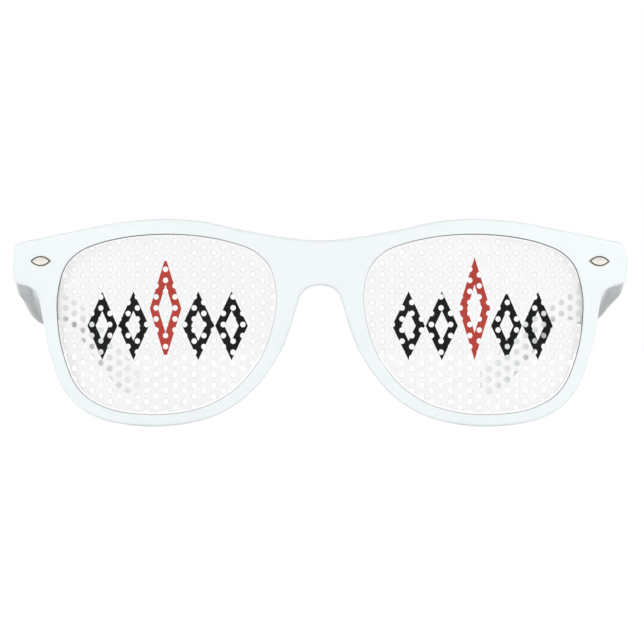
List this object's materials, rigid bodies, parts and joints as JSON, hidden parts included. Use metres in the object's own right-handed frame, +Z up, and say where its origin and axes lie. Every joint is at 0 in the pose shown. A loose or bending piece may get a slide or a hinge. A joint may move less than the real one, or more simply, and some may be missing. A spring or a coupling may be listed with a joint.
{
  "type": "party glasses",
  "caption": "White retro squared party glasses with perforated printed film on clear lenses, metal ornaments and folding temples on screw hinges.",
  "frame": {"origin": "on the surface the glasses stand on, under the middle of the box round them", "axes": "the front faces -Y, the temples run back along +Y, +Z is up, and +X is the wearer's left"},
  "size_m": [0.1467, 0.1578, 0.0485],
  "materials": {
    "frame_plastic": "glossy moulded plastic, cool white",
    "clear_lens": "clear polished plastic",
    "printed_film": "white perforated vinyl film with a black and red print",
    "ornament_metal": "polished plated metal",
    "hinge_steel": "plated steel",
    "screw_steel": "bright steel"
  },
  "bodies": {
    "front": {"frame_front": "frame_plastic", "lens_left": "clear_lens", "lens_right": "clear_lens", "film_left": "printed_film", "film_right": "printed_film", "ornament_left": "ornament_metal", "ornament_right": "ornament_metal", "front_hinge_left": "hinge_steel", "front_hinge_right": "hinge_steel", "hinge_screw_left": "screw_steel", "hinge_screw_right": "screw_steel"},
    "left_arm": {"temple_left": "frame_plastic", "temple_hinge_left": "hinge_steel"},
    "right_arm": {"temple_right": "frame_plastic", "temple_hinge_right": "hinge_steel"}
  },
  "joints": [
    {"name": "left_fold", "type": "hinge", "parent": "front", "child": "left_arm", "pos_m": [0.06755, -0.05452, 0.03823], "axis": [0, 0.1478, 0.989], "range_deg": [-4.5, 80.5]},
    {"name": "right_fold", "type": "hinge", "parent": "front", "child": "right_arm", "pos_m": [-0.06755, -0.05452, 0.03823], "axis": [0, -0.1478, -0.989], "range_deg": [-2, 72]}
  ]
}
